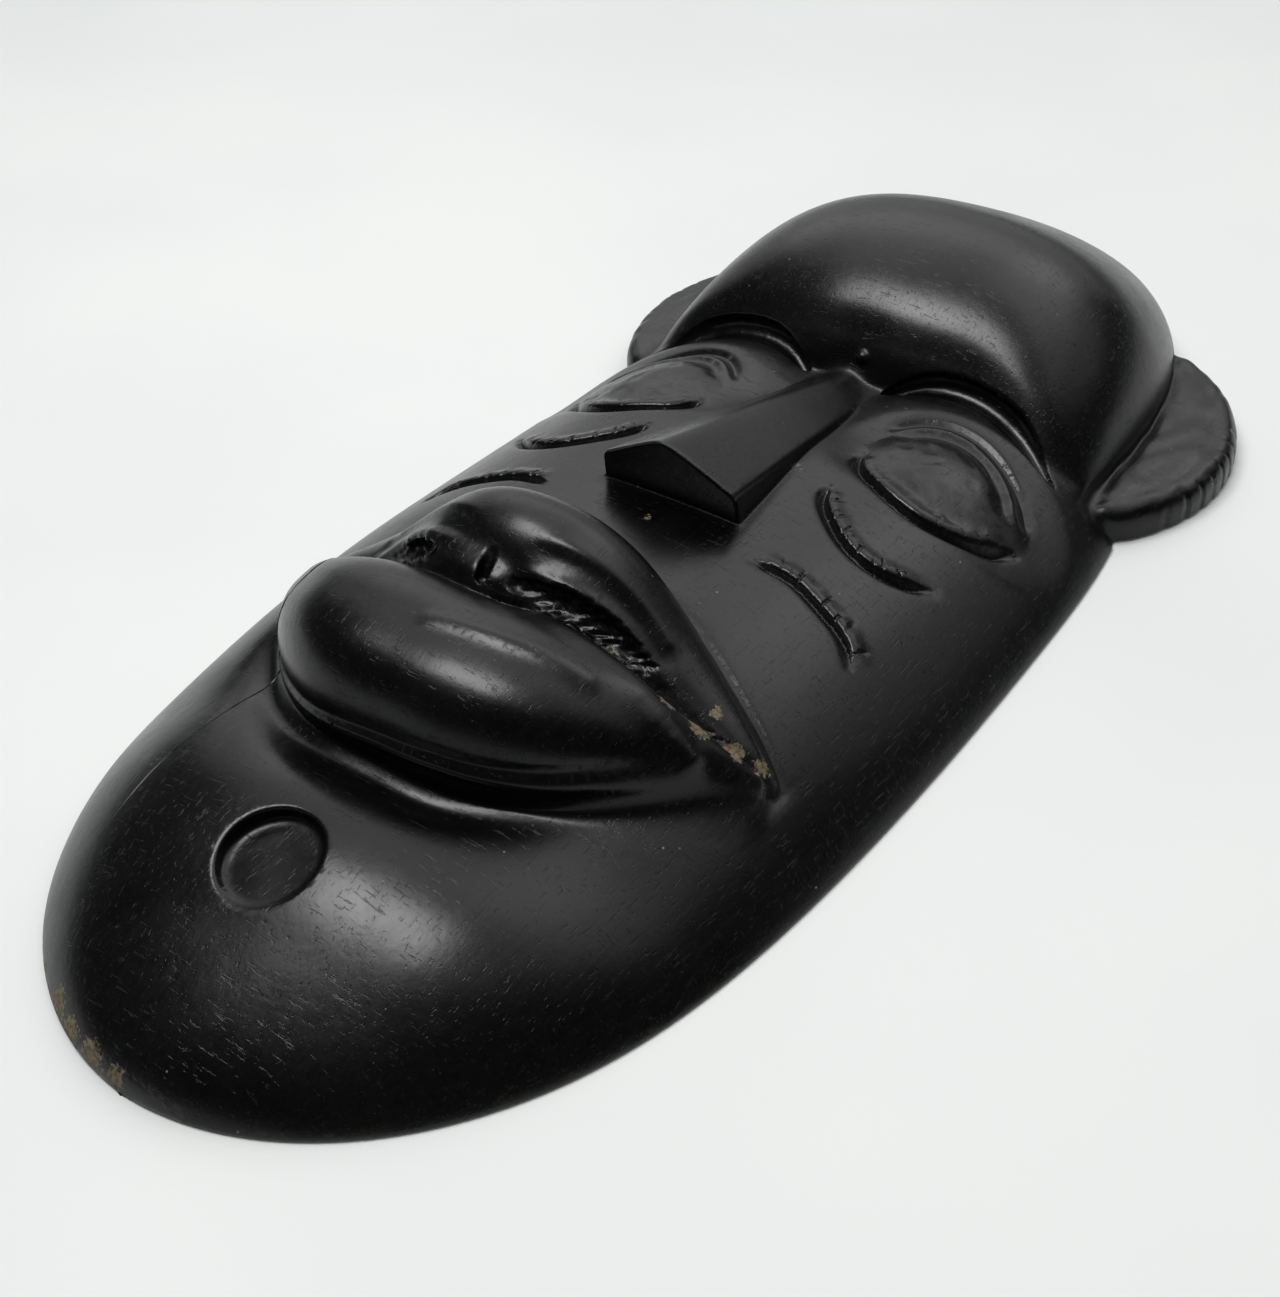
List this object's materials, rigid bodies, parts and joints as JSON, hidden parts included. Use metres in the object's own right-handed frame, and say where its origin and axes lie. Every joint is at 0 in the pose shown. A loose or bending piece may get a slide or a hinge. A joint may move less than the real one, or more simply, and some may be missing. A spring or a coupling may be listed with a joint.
{
  "type": "carved wooden wall mask",
  "caption": "Elongated carved wall mask in ebonised wood with domed forehead, wedge nose, heavy lips, shallow hollow back and a screwed-on folding hanging ring.",
  "frame": {"origin": "middle of the flat back plane, halfway between chin and crown", "axes": "+X to the right when looking at the back plane from above the face with the crown away, +Y from chin to crown, +Z out of the face"},
  "size_m": [0.1402, 0.3, 0.0466],
  "materials": {
    "ebonised_wood": "black stained and waxed hardwood, satin",
    "hanger_steel": "brassed steel strip, dulled",
    "ring_wire": "plated steel wire",
    "screw_steel": "plain zinc plated"
  },
  "bodies": {
    "mask": {"face_block": "ebonised_wood", "side_strip": "ebonised_wood", "hanger_strap": "hanger_steel", "hanger_screw_1": "screw_steel", "hanger_screw_2": "screw_steel"},
    "ring": {"hanger_ring": "ring_wire"}
  },
  "joints": [
    {"name": "ring_swing", "type": "hinge", "parent": "mask", "child": "ring", "pos_m": [0, 0.1106, 0.005], "axis": [-1, 0, 0], "range_deg": [0, 165]}
  ]
}
